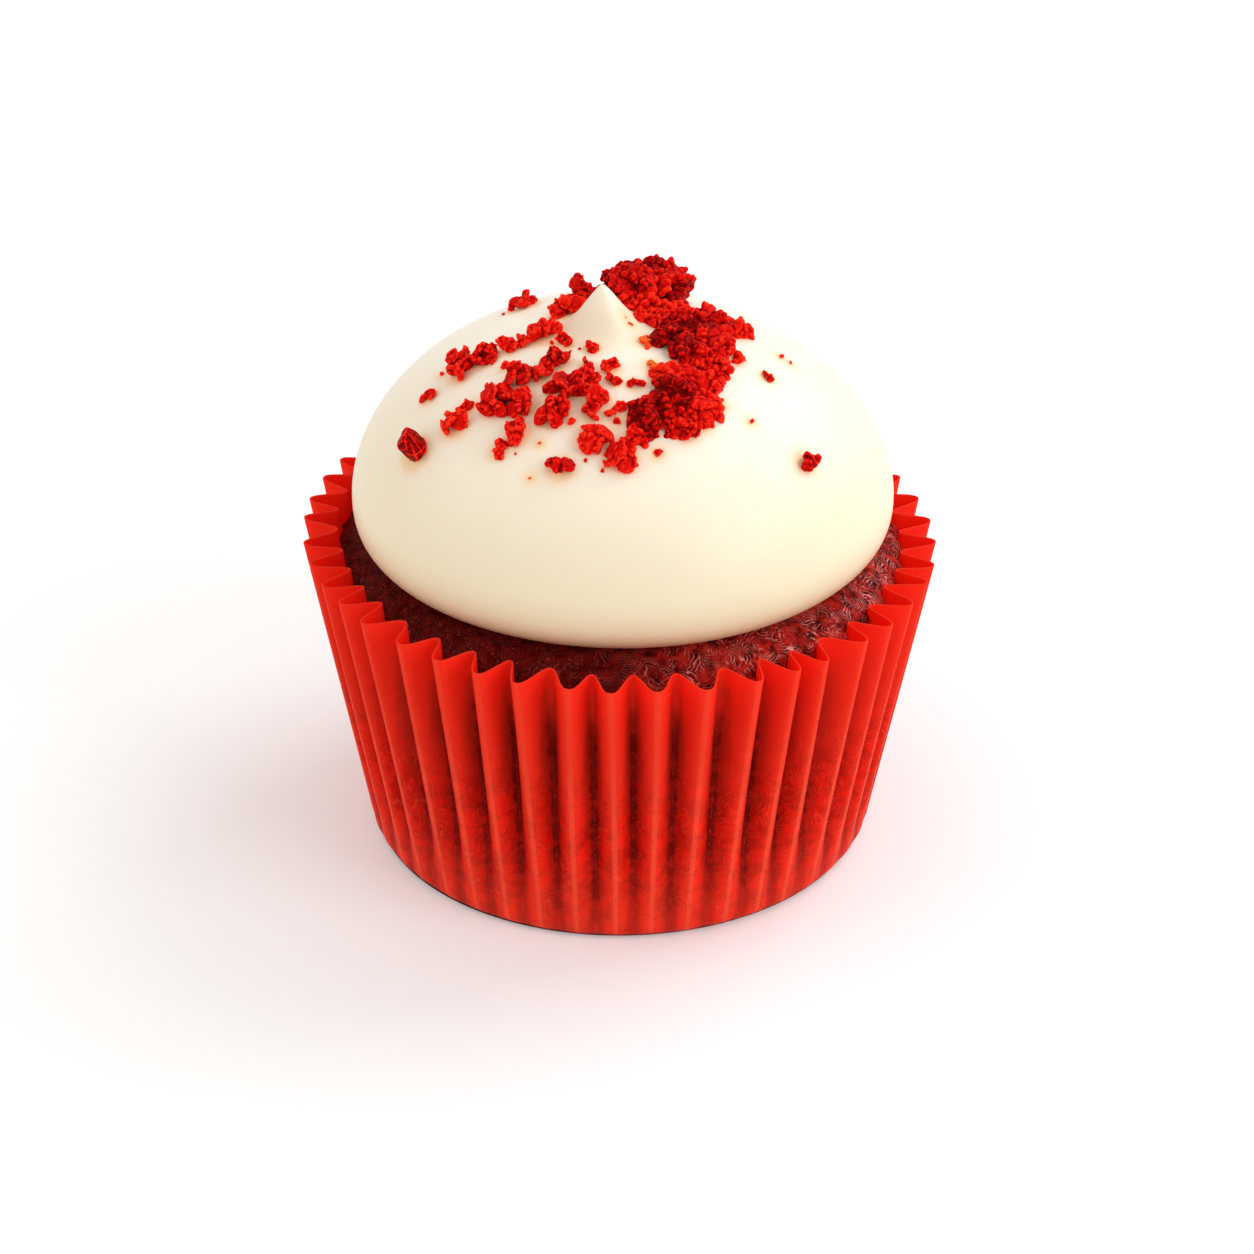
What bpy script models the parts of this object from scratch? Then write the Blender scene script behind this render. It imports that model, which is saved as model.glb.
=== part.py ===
"""A cupcake: cake baked in a pleated paper case, a smooth dome of icing with a drawn-up peak, and clumps of cake crumb.

The origin is the centre of the case's base, on the surface that it stands on. +Z is up and -Y is the front.
Angles about the Z axis are counted from the front towards +X.
"""

import math
import random

import bmesh
import bpy

MM = 0.001
GAP = 0.3 * MM

# Pleated paper case
CASE_HEIGHT = 31.8 * MM
CASE_FOOT_RADIUS = 25.4 * MM
CASE_RIM_RADIUS = 31.5 * MM
CASE_BASE_RADIUS = 24.3 * MM
FOOT_HEIGHT = 1.0 * MM
RIM_SLANT = 0.9 * MM
PAPER = 0.3 * MM
FOLDS = 44
FIRST_FOLD = math.radians(-1.2)
RIM_FOLD_DEPTH = 3.5 * MM
FOLD_FADE = 0.8
WALL_HEIGHTS = (FOOT_HEIGHT, 9 * MM, 20 * MM, CASE_HEIGHT)
# Each pleat's corners: how far along the pleat, and how far in from the outer fold, both as fractions
PLEAT = ((-0.14, 0.0), (0.14, 0.0), (0.42, 0.85), (0.5, 1.0), (0.58, 0.85))

# Cake
CAKE_SHOULDER_HEIGHT = 28.5 * MM
CAKE_CROWN_HEIGHT = 34.2 * MM
CAKE_CROWN_SQUARENESS = 2.6
CAKE_CROWN_POINTS = 7
CAKE_FOOT_ROUNDING = 1.2 * MM

# Icing
ICING_RADIUS = 26.8 * MM
ICING_WAIST_HEIGHT = 36.8 * MM
ICING_RISE = 18.0 * MM
ICING_RISE_SQUARENESS = 1.88
ICING_DROP = 7.0 * MM
ICING_DROP_SQUARENESS = 2.9
ICING_TUCK_RADIUS = 24.0 * MM
ICING_OFFSET_X = 0.25 * MM
ICING_RISE_POINTS = 9
ICING_DROP_POINTS = 5

# Drawn-up peak of the icing
PEAK_X = -1.6 * MM
PEAK_RISE = 4.0 * MM
PEAK_SLOPE = 1.4
PEAK_TIP_ROUNDING = 0.35 * MM
PEAK_FLARE = 0.6 * MM
PEAK_FOOT_RADIUS = 6.0 * MM
PEAK_FOOT_SINK = 0.4 * MM
PEAK_POINTS = 7

# Crumb clumps: centre on the icing in plan, half length, half width, turn of the long side, lump size, seed
CLUMPS = {
    "crumb_clump_back": ((3.1 * MM, 7.6 * MM), 2.6 * MM, 1.4 * MM, math.radians(4), 2.3 * MM, 3),
    "crumb_clump_right": ((8.3 * MM, -1.2 * MM), 3.3 * MM, 1.8 * MM, math.radians(104), 2.3 * MM, 5),
    "crumb_clump_front": ((5.7 * MM, -11.6 * MM), 2.7 * MM, 1.3 * MM, math.radians(12), 2.1 * MM, 8),
}
LUMPS_PER_CLUMP = 7
LUMP_LIFT = 0.5
LUMP_UNEVENNESS = 0.16

ROUND_STEPS = 48
PEAK_STEPS = 32

COLOURS = {
    "paper": ((0.80, 0.016, 0.008), 0.55),
    "cake": ((0.12, 0.010, 0.007), 0.6),
    "icing": ((0.95, 0.86, 0.68), 0.3),
    "crumb": ((0.38, 0.006, 0.004), 0.65),
}


def clear_scene():
    for obj in list(bpy.data.objects):
        bpy.data.objects.remove(obj, do_unlink=True)


def new_collection(name):
    collection = bpy.data.collections.new(name)
    bpy.context.scene.collection.children.link(collection)
    return collection


def new_material(name):
    colour, roughness = COLOURS[name]
    material = bpy.data.materials.new(name)
    material.use_nodes = True
    shader = material.node_tree.nodes["Principled BSDF"]
    shader.inputs["Base Color"].default_value = (*colour, 1.0)
    shader.inputs["Roughness"].default_value = roughness
    shader.inputs["Metallic"].default_value = 0.0
    return material


def new_object(name, mesh, collection, material=None):
    obj = bpy.data.objects.new(name, mesh)
    collection.objects.link(obj)
    if material:
        obj.data.materials.append(material)
    return obj


def as_helper(obj):
    obj.hide_render = True
    obj.display_type = "WIRE"


def superellipse(radius, height, squareness, count):
    """Points from the radius at height 0 up to the axis: r = radius cos^(2/n), z = height sin^(2/n)."""
    power = 2 / squareness
    points = []
    for i in range(count):
        angle = math.pi / 2 * i / (count - 1)
        points.append((radius * math.cos(angle) ** power, height * math.sin(angle) ** power))
    return points


def turned(name, profile, steps, collection, material=None):
    """A profile of (radius, height) from the top down its outer side, turned about the Z axis."""
    mesh = bpy.data.meshes.new(name)
    vertices = [(radius, 0.0, height) for radius, height in profile]
    edges = [(i, i + 1) for i in range(len(profile) - 1)]
    mesh.from_pydata(vertices, edges, [])
    obj = new_object(name, mesh, collection, material)
    screw = obj.modifiers.new("Turn", "SCREW")
    screw.axis = "Z"
    screw.steps = steps
    screw.render_steps = steps
    screw.use_merge_vertices = True
    screw.merge_threshold = 0.00001
    screw.use_smooth_shade = True
    return obj


def add_boolean(obj, operation, other):
    boolean = obj.modifiers.new(operation.title(), "BOOLEAN")
    boolean.operation = operation
    boolean.solver = "EXACT"
    boolean.object = other


# Paper case


def case_radius(height):
    """Radius of the outer folds at a height: a straight flare."""
    return CASE_FOOT_RADIUS + (CASE_RIM_RADIUS - CASE_FOOT_RADIUS) * height / CASE_HEIGHT


def fold_depth(height):
    """Depth of the pleats, which fade out towards the foot."""
    return RIM_FOLD_DEPTH * (height / CASE_HEIGHT) ** FOLD_FADE


def inner_fold_radius(height):
    return case_radius(height) - fold_depth(height)


def case_ring(height):
    """One ring of corners at a height on the wall, every pleat in turn."""
    ring = []
    for fold in range(FOLDS):
        for along, inward in PLEAT:
            angle = FIRST_FOLD + 2 * math.pi * (fold + along) / FOLDS
            radius = case_radius(height) - inward * fold_depth(height)
            slanted = height * (1 - RIM_SLANT / CASE_HEIGHT * math.sin(angle))
            ring.append((radius * math.sin(angle), -radius * math.cos(angle), slanted))
    return ring


def base_ring():
    """The edge of the flat base, one corner below each corner of the wall."""
    ring = []
    for x, y, _ in case_ring(FOOT_HEIGHT):
        shrink = CASE_BASE_RADIUS / math.hypot(x, y)
        ring.append((x * shrink, y * shrink, 0.0))
    return ring


def build_case(collection):
    """A loft from the round base to the pleated rim, given its thickness inwards."""
    mesh = bpy.data.meshes.new("paper_case")
    lofted = bmesh.new()
    rings = [[lofted.verts.new(point) for point in base_ring()]]
    for height in WALL_HEIGHTS:
        rings.append([lofted.verts.new(point) for point in case_ring(height)])
    lofted.faces.new(reversed(rings[0]))
    count = len(rings[0])
    for lower, upper in zip(rings, rings[1:]):
        for i in range(count):
            j = (i + 1) % count
            lofted.faces.new((lower[i], lower[j], upper[j], upper[i]))
    lofted.to_mesh(mesh)
    lofted.free()
    mesh.shade_smooth()
    mesh.set_sharp_from_angle(angle=math.radians(40))
    case = new_object("paper_case", mesh, collection, new_material("paper"))
    wall = case.modifiers.new("Paper", "SOLIDIFY")
    wall.thickness = PAPER
    wall.offset = -1.0
    wall.use_even_offset = False


# Cake


def cake_side_radius(height):
    """The cake stands just clear of the paper's inner folds."""
    return inner_fold_radius(height) - PAPER - GAP


def cake_crown():
    """The domed top, from the axis out to the shoulder."""
    shoulder = cake_side_radius(CAKE_SHOULDER_HEIGHT)
    rise = CAKE_CROWN_HEIGHT - CAKE_SHOULDER_HEIGHT
    arc = superellipse(shoulder, rise, CAKE_CROWN_SQUARENESS, CAKE_CROWN_POINTS)
    return [(radius, CAKE_SHOULDER_HEIGHT + height) for radius, height in reversed(arc)]


def cake_top_height(radius):
    shoulder = cake_side_radius(CAKE_SHOULDER_HEIGHT)
    rise = CAKE_CROWN_HEIGHT - CAKE_SHOULDER_HEIGHT
    share = 1 - (radius / shoulder) ** CAKE_CROWN_SQUARENESS
    return CAKE_SHOULDER_HEIGHT + rise * share ** (1 / CAKE_CROWN_SQUARENESS)


def build_cake(collection):
    underside = PAPER + GAP
    profile = cake_crown()
    for height in reversed(WALL_HEIGHTS[1:-1]):
        profile.append((cake_side_radius(height), height))
    foot_radius = cake_side_radius(FOOT_HEIGHT)
    profile.append((foot_radius - CAKE_FOOT_ROUNDING / 4, underside + CAKE_FOOT_ROUNDING))
    profile.append((foot_radius - CAKE_FOOT_ROUNDING, underside))
    profile.append((0.0, underside))
    turned("cake", profile, ROUND_STEPS, collection, new_material("cake"))


# Icing


def dome_profile(grown=0.0):
    """The icing's outer side from the axis down to its tuck onto the cake, optionally grown outwards."""
    radius = ICING_RADIUS + grown
    rise = superellipse(radius, ICING_RISE + grown, ICING_RISE_SQUARENESS, ICING_RISE_POINTS)
    profile = [(r, ICING_WAIST_HEIGHT + z) for r, z in reversed(rise)]
    tuck = math.acos((ICING_TUCK_RADIUS / ICING_RADIUS) ** (ICING_DROP_SQUARENESS / 2))
    power = 2 / ICING_DROP_SQUARENESS
    for i in range(1, ICING_DROP_POINTS + 1):
        angle = tuck * i / ICING_DROP_POINTS
        drop = (ICING_DROP + grown) * math.sin(angle) ** power
        profile.append((radius * math.cos(angle) ** power, ICING_WAIST_HEIGHT - drop))
    return profile


def dome_height(x, y):
    """Height of the dome over a point in plan."""
    share = 1 - (math.hypot(x - ICING_OFFSET_X, y) / ICING_RADIUS) ** ICING_RISE_SQUARENESS
    return ICING_WAIST_HEIGHT + ICING_RISE * share ** (1 / ICING_RISE_SQUARENESS)


def peak_profile(grown=0.0):
    """A rounded tip and straight flanks that flare out until the foot sinks into the dome."""
    profile = []
    for i in range(PEAK_POINTS + 1):
        radius = PEAK_FOOT_RADIUS * i / PEAK_POINTS
        fall = PEAK_SLOPE * (math.hypot(radius, PEAK_TIP_ROUNDING) - PEAK_TIP_ROUNDING)
        rise = PEAK_FLARE * math.log1p(math.exp((PEAK_RISE - fall) / PEAK_FLARE))
        sink = PEAK_FOOT_SINK * (radius / PEAK_FOOT_RADIUS) ** 2
        height = dome_height(ICING_OFFSET_X + radius, 0.0) + rise - sink
        profile.append((radius + grown if i else 0.0, height + grown))
    profile.append((0.0, profile[-1][1] - PEAK_RISE))
    return profile


def build_icing(collection, helpers):
    """The dome, whose underside follows the cake's crown, joined to the peak."""
    profile = dome_profile()
    under = [(radius, height) for radius, height in cake_crown() if radius < ICING_TUCK_RADIUS - MM]
    profile.append((ICING_TUCK_RADIUS - MM, cake_top_height(ICING_TUCK_RADIUS - MM) + GAP))
    profile += [(radius, height + GAP) for radius, height in reversed(under)]
    icing = turned("icing", profile, ROUND_STEPS, collection, new_material("icing"))
    icing.location.x = ICING_OFFSET_X
    peak = turned("peak_form", peak_profile(), PEAK_STEPS, helpers)
    peak.location.x = PEAK_X
    as_helper(peak)
    add_boolean(icing, "UNION", peak)


# Crumb clumps


def clump_cutters(helpers):
    """The dome and the peak, both grown by the gap, to shape the clumps' undersides."""
    dome = turned("dome_cutter", dome_profile(GAP) + [(0.0, ICING_WAIST_HEIGHT - ICING_DROP)],
                  ROUND_STEPS, helpers)
    dome.location.x = ICING_OFFSET_X
    peak = turned("peak_cutter", peak_profile(GAP), PEAK_STEPS, helpers)
    peak.location.x = PEAK_X
    for cutter in (dome, peak):
        as_helper(cutter)
    return dome, peak


def lump(name, place, radius, rng, collection, material=None):
    """A ball whose surface is pushed in and out unevenly."""
    mesh = bpy.data.meshes.new(name)
    ball = bmesh.new()
    bmesh.ops.create_icosphere(ball, subdivisions=2, radius=radius)
    for vertex in ball.verts:
        vertex.co *= 1 + LUMP_UNEVENNESS * rng.uniform(-1, 1)
    ball.to_mesh(mesh)
    ball.free()
    obj = new_object(name, mesh, collection, material)
    obj.location = place
    return obj


def build_clump(name, material, cutters, collection, helpers):
    """Lumps strung along a short line on the icing, joined, with the icing's own shape cut out below."""
    (centre_x, centre_y), half_length, half_width, heading, size, seed = CLUMPS[name]
    rng = random.Random(seed)
    clump = None
    for i in range(LUMPS_PER_CLUMP):
        along = half_length * (2 * i / (LUMPS_PER_CLUMP - 1) - 1)
        across = half_width * (-1) ** i * rng.uniform(0.4, 1.0)
        x = centre_x + along * math.cos(heading) - across * math.sin(heading)
        y = centre_y + along * math.sin(heading) + across * math.cos(heading)
        radius = size * rng.uniform(0.75, 1.1)
        place = (x, y, dome_height(x, y) + LUMP_LIFT * radius)
        if clump is None:
            clump = lump(name, place, radius, rng, collection, material)
            continue
        more = lump(f"{name}_lump_{i}", place, radius, rng, helpers)
        as_helper(more)
        add_boolean(clump, "UNION", more)
    for cutter in cutters:
        add_boolean(clump, "DIFFERENCE", cutter)


def main():
    clear_scene()
    parts = new_collection("cupcake")
    helpers = new_collection("cutters")
    helpers.hide_render = True
    build_case(parts)
    build_cake(parts)
    build_icing(parts, helpers)
    cutters = clump_cutters(helpers)
    crumb = new_material("crumb")
    for name in CLUMPS:
        build_clump(name, crumb, cutters, parts, helpers)


main()
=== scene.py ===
"""A red cupcake: pleated paper case, sponge, a dome of icing with a peak, and scattered cake crumb.

Every piece is a surface worked out in metres in the packed part's own frame: the origin is the centre of
the case's base, +Z is up and -Y is the front. Angles round the Z axis are counted from the front to +X.
"""

import itertools
import math

import bpy
import numpy as np
from bpy.props import FloatProperty, FloatVectorProperty, IntProperty, PointerProperty
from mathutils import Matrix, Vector


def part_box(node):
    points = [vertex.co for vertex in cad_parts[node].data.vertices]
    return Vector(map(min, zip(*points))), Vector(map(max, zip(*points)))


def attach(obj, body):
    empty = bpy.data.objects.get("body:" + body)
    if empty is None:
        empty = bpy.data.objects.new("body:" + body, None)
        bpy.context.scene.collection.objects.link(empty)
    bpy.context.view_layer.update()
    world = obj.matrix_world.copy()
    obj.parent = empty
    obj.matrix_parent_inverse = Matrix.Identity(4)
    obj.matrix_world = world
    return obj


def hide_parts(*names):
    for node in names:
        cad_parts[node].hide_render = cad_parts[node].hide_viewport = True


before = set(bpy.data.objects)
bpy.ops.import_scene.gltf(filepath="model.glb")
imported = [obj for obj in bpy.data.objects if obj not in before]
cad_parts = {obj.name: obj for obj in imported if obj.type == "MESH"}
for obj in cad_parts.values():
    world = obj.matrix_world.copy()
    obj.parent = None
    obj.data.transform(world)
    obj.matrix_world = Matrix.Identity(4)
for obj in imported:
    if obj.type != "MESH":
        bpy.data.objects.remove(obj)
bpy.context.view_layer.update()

bl_info = {
    "name": "Cupcake",
    "version": (1, 0, 0),
    "blender": (4, 5, 0),
    "location": "3D View > Sidebar > Cupcake",
    "description": "Builds a cupcake in a pleated paper case, with icing and crumbs",
    "category": "Add Mesh",
}

MM = 0.001
CASE_LOW, CASE_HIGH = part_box("paper_case")
ICING_LOW, ICING_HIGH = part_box("icing")
RIM_SLANT = 0.9 * MM


# Settings


def length(name, description, default, low=0.0):
    """A length in metres."""
    return FloatProperty(name=name, description=description, default=default, min=low, unit="LENGTH",
                         precision=5)


def share(name, description, default):
    """A plain number from 0 to 1."""
    return FloatProperty(name=name, description=description, default=default, min=0.0, max=1.0,
                         subtype="FACTOR")


def colour(name, description, default):
    """A linear red, green and blue."""
    return FloatVectorProperty(name=name, description=description, default=default, size=3, min=0.0,
                               max=1.0, subtype="COLOR")


def angle(name, description, degrees):
    """An angle, given in degrees and held in radians."""
    return FloatProperty(name=name, description=description, default=math.radians(degrees), subtype="ANGLE")


def watts(name, description, default):
    """A lamp's power in watts."""
    return FloatProperty(name=name, description=description, default=default, min=0.0, unit="POWER")


def whole(name, description, default, low=0):
    """A whole number."""
    return IntProperty(name=name, description=description, default=default, min=low)


class CaseSettings(bpy.types.PropertyGroup):
    """The pleated paper case."""

    rim_radius: length("Rim radius", "Radius of the outer folds at the rim", (CASE_HIGH.x - CASE_LOW.x) / 2)
    foot_radius: length("Foot radius", "Radius of the outer folds just above the base", 25.4 * MM)
    height: length("Height", "Height of the rim at the front", CASE_HIGH.z - RIM_SLANT)
    rim_slant: length("Rim slant", "How much higher the rim is on the left than at the front", RIM_SLANT)
    foot_rounding: length("Foot rounding", "Radius of the turn from the wall to the base", 1.5 * MM)
    folds: whole("Folds", "Number of pleats", 44, 8)
    first_fold: angle("First fold", "Where an outer fold lies, from the front", -1.2)
    fold_depth: length("Fold depth", "Depth of the pleats at the rim", 3.5 * MM)
    thickness: length("Paper", "Thickness of the paper", 0.14 * MM)
    unevenness: share("Unevenness", "How much the pleats differ from each other", 0.5)
    seed: whole("Seed", "Which uneven pleats", 11)
    fresh: colour("Fresh paper", "Dry paper above the cake", (1.0, 0.037, 0.015))
    soaked: colour("Soaked paper", "Paper that the cake has soaked", (0.86, 0.011, 0.003))
    # Partly painted shade in the folds' valleys, partly soaked paper where the cake presses
    soak_and_valley_shade: colour("Valley", "Soaked paper deep in the folds", (0.12, 0.0012, 0.0008))
    # Painted highlight on crests, cut edge and valley specks; also the pale wrinkles and the foot's tone
    wrinkle_and_highlight: colour("Crest", "Wrinkles, crests and the cut edge", (1.0, 0.09, 0.04))


class SpongeSettings(bpy.types.PropertyGroup):
    """The cake."""

    radius: length("Radius", "Radius of the shoulder where the paper lets it spread", 28.5 * MM)
    shoulder: length("Shoulder height", "Height where the side turns into the crown", 28.0 * MM)
    crown: length("Crown height", "Height of the middle of the top", 34.2 * MM)
    relief: length("Relief", "Depth of the crumb's relief", 0.3 * MM)
    seed: whole("Seed", "Which crumb relief", 5)
    dark: colour("Dark crumb", "The hollows of the sponge", (0.05, 0.0004, 0.0003))
    light: colour("Light crumb", "The knobs of the sponge", (0.50, 0.016, 0.011))
    # Painted light: the pale pink of the strands and glints, standing in for sheen
    painted_light: colour("Strands", "The fine strands and specks of the crust", (0.74, 0.16, 0.13))


class IcingSettings(bpy.types.PropertyGroup):
    """The icing's dome and peak."""

    radius: length("Radius", "Radius at the waist", (ICING_HIGH.x - ICING_LOW.x) / 2)
    centre: length("Centre", "How far right the dome's axis stands", (ICING_HIGH.x + ICING_LOW.x) / 2, -1.0)
    waist: length("Waist height", "Height of the widest place", 36.8 * MM)
    rise: length("Rise", "Height of the dome above its waist", 18.0 * MM)
    drop: length("Drop", "Depth of the curve under the waist", 7.0 * MM)
    tuck: length("Tuck radius", "Where the icing meets the sponge", 23.8 * MM)
    peak_place: length("Peak", "How far right the peak stands", -1.6 * MM, -1.0)
    peak_rise: length("Peak rise", "Height of the peak above the dome", 4.0 * MM)
    tint: colour("Icing", "The icing on top", (0.96, 0.872, 0.765))
    # Painted shade: darker, warmer icing round the waist and at the foot, where shade and warm bounce from
    # the cake fall
    shaded_low_tint: colour("Low icing", "Icing round the waist and beside the peak", (0.83, 0.72, 0.515))
    shaded_foot_tint: colour("Foot", "The thin icing at the foot of the dome", (0.61, 0.375, 0.19))
    # Painted bounce light: a warm glow on the icing round each crumb
    stain: colour("Stain", "Icing stained by the crumbs", (1.0, 0.55, 0.14))


class CrumbSettings(bpy.types.PropertyGroup):
    """The crumbs on the icing."""

    seed: whole("Seed", "Which scatter of crumbs", 21)
    specks: whole("Specks", "How many specks lie among the crumbs", 16, 1)
    grain: length("Grain", "Finest shape that a crumb keeps", 0.1 * MM)
    # Partly painted shade: the colour of the crumb's creases, and of thick crumb
    dark: colour("Dark crumb", "Creases and thick crumb", (0.16, 0.0003, 0.0003))
    body: colour("Crumb", "Most of the crumb", (0.66, 0.003, 0.0015))
    # Painted highlight: the colour of the crumb's edges
    light: colour("Light crumb", "Edges of the crumb", (1.0, 0.030, 0.009))
    chip: colour("Chips", "Thin chips that the light shines through", (0.90, 0.16, 0.02))


class StageSettings(bpy.types.PropertyGroup):
    """The floor, the lights and the camera."""

    floor_size: length("Floor", "Side of the square floor", 3.0)
    floor_tint: colour("Floor tint", "The plain pale floor", (0.80, 0.81, 0.825))
    sky: FloatProperty(name="Surround", description="Brightness of the surround", default=0.75, min=0.0)
    key_power: watts("Key light", "Power of the soft light at the back right", 1.95)
    fill_power: watts("Fill light", "Power of the broad low light at the right", 2.65)
    left_power: watts("Left light", "Power of the faint light at the left", 0.75)
    lens: FloatProperty(name="Lens", description="Focal length for the 36 mm sensor", default=116.6,
                        unit="CAMERA")
    distance: length("Distance", "From the camera to the point that it looks at", 409.5 * MM)
    elevation: angle("Elevation", "How steeply the camera looks down", 30.1)
    aim: FloatVectorProperty(name="Aim", description="The point that the camera looks at",
                             default=(0.76 * MM, 0.0, 20.7 * MM), subtype="XYZ_LENGTH", precision=5)


SETTINGS = {
    "cupcake_case": CaseSettings,
    "cupcake_sponge": SpongeSettings,
    "cupcake_icing": IcingSettings,
    "cupcake_crumb": CrumbSettings,
    "cupcake_stage": StageSettings,
}


# Fields and meshes

# Large odd numbers that mix a place's three coordinates and a seed into chance
PLACE_MIX = (73856093, 19349663, 83492791)
SEED_MIX = 2654435761
LAST_MIX = 1274126177
LOW_BITS = 0xFFFFFF
FAR = 9.0


def smooth(low, high, x):
    """An S-shaped rise from 0 at low to 1 at high: 3t^2 - 2t^3, with t held between 0 and 1."""
    t = np.clip((x - low) / (high - low), 0.0, 1.0)
    return t * t * (3 - 2 * t)


def chance(cell, seed):
    """A random number from 0 to 1 for each whole-number place, from a mixing of its three coordinates."""
    x, y, z = (cell[..., axis] * PLACE_MIX[axis] for axis in range(3))
    mixed = x ^ y ^ z ^ seed * SEED_MIX
    mixed = (mixed ^ (mixed >> 13)) * LAST_MIX
    mixed = mixed ^ (mixed >> 16)
    return (mixed & LOW_BITS) / LOW_BITS


def lumps(points, size, seed):
    """A soft field from -1 to 1 with lumps of one size: random values at the corners of a cubic lattice,
    blended inside each cell by an S curve along every axis."""
    grid = points / size
    cell = np.floor(grid).astype(np.int64)
    part = smooth(0.0, 1.0, grid - cell)
    field = 0.0
    for corner in itertools.product((0, 1), repeat=3):
        weight = np.prod(np.where(np.array(corner) == 1, part, 1 - part), axis=-1)
        field = field + weight * chance(cell + np.array(corner), seed)
    return 2 * field - 1


def pebbles(points, size, seed):
    """Distance to the nearest of the seeds strewn one to a lattice cell, in cells: 0 at a pebble's middle
    and about 0.8 at its edge."""
    grid = points / size
    cell = np.floor(grid).astype(np.int64)
    nearest = np.full(points.shape[:-1], FAR)
    for step in itertools.product((-1, 0, 1), repeat=3):
        place = cell + np.array(step)
        strewn = np.stack([chance(place, seed + axis) for axis in range(3)], axis=-1)
        nearest = np.minimum(nearest, ((grid - place - strewn) ** 2).sum(axis=-1))
    return np.sqrt(nearest)


def around(radius, turn, height):
    """Points at a radius, an angle from the front and a height: x = r sin a, y = -r cos a."""
    radius, turn, height = np.broadcast_arrays(radius, turn, height)
    return np.stack([radius * np.sin(turn), -radius * np.cos(turn), height], axis=-1)


def superellipse(radius, height, squareness, angles):
    """r = radius cos^(2/n) and z = height sin^(2/n), for angles from 0 to a quarter turn."""
    power = 2 / squareness
    return radius * np.cos(angles) ** power, height * np.sin(angles) ** power


def grid_faces(rows, columns):
    """Four-cornered faces of a grid of closed rows, facing out when the rows run bottom to top."""
    index = np.arange(rows * columns).reshape(rows, columns)
    ahead = np.roll(index, -1, axis=1)
    return np.stack([index[:-1], ahead[:-1], ahead[1:], index[1:]], axis=-1).reshape(-1, 4)


def cap_faces(rows, columns, low, high):
    """Three-cornered faces that close a grid onto its bottom point and its top point, where given."""
    ring = np.arange(columns)
    ahead = np.roll(ring, -1)
    caps = []
    if low is not None:
        caps.append(np.stack([np.full(columns, low), ahead, ring], axis=-1))
    if high is not None:
        top = (rows - 1) * columns
        caps.append(np.stack([ring + top, ahead + top, np.full(columns, high)], axis=-1))
    return np.concatenate(caps)


def build_mesh(name, points, quads, triangles):
    """A smooth mesh from arrays of points and faces."""
    mesh = bpy.data.meshes.new(name)
    corners = np.concatenate([quads.ravel(), triangles.ravel()])
    starts = np.concatenate([np.arange(len(quads)) * 4, quads.size + np.arange(len(triangles)) * 3])
    mesh.vertices.add(len(points))
    mesh.vertices.foreach_set("co", np.ascontiguousarray(points, np.float32).ravel())
    mesh.loops.add(len(corners))
    mesh.loops.foreach_set("vertex_index", corners.astype(np.int32))
    mesh.polygons.add(len(starts))
    mesh.polygons.foreach_set("loop_start", starts.astype(np.int32))
    mesh.update(calc_edges=True)
    mesh.validate()
    mesh.shade_smooth()
    return mesh


def mark_points(mesh, label, numbers):
    """Puts a number on every point of a mesh, for its material to read under a label."""
    mark = mesh.attributes.new(label, "FLOAT", "POINT")
    mark.data.foreach_set("value", np.ascontiguousarray(numbers, np.float32).ravel())


def turned_mesh(name, rings, low=None, high=None, **marks):
    """A mesh of rings stacked from the bottom up, closed at a bottom point and a top point where given.
    Each mark holds a number for every point of the rings; a closing point takes its own ring's mean."""
    rows, columns = rings.shape[:2]
    ends = [end for end in (low, high) if end is not None]
    points = np.concatenate([rings.reshape(-1, 3), np.array(ends).reshape(-1, 3)])
    low_index = rows * columns if low is not None else None
    high_index = len(points) - 1 if high is not None else None
    caps = cap_faces(rows, columns, low_index, high_index)
    mesh = build_mesh(name, points, grid_faces(rows, columns), caps)
    for label, numbers in marks.items():
        means = [numbers[row].mean() for row, end in ((0, low), (-1, high)) if end is not None]
        mark_points(mesh, label, np.concatenate([numbers.ravel(), means]))
    return mesh


def place_piece(mesh, finish, slot, *nodes):
    """Puts a mesh with its finish in the scene under the root body, and hides the part's nodes given, if
    any.
    """
    piece = bpy.data.objects.new(mesh.name, mesh)
    bpy.context.scene.collection.objects.link(piece)
    mesh.materials.append(finish)
    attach(piece, "root")
    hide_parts(*nodes)
    return piece


# Materials

# Sockets of a Mix node that mixes colours
MIX_FACTOR = 0
MIX_FIRST = 6
MIX_SECOND = 7
MIX_RESULT = 2


class Value:
    """An output of a material's node. Arithmetic on it adds Math nodes."""

    def __init__(self, finish, socket):
        self.finish = finish
        self.socket = socket

    def __add__(self, other):
        return self.finish.math("ADD", self, other)

    def __sub__(self, other):
        return self.finish.math("SUBTRACT", self, other)

    def __rsub__(self, other):
        return self.finish.math("SUBTRACT", other, self)

    def __mul__(self, other):
        return self.finish.math("MULTIPLY", self, other)

    __radd__ = __add__
    __rmul__ = __mul__


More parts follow.
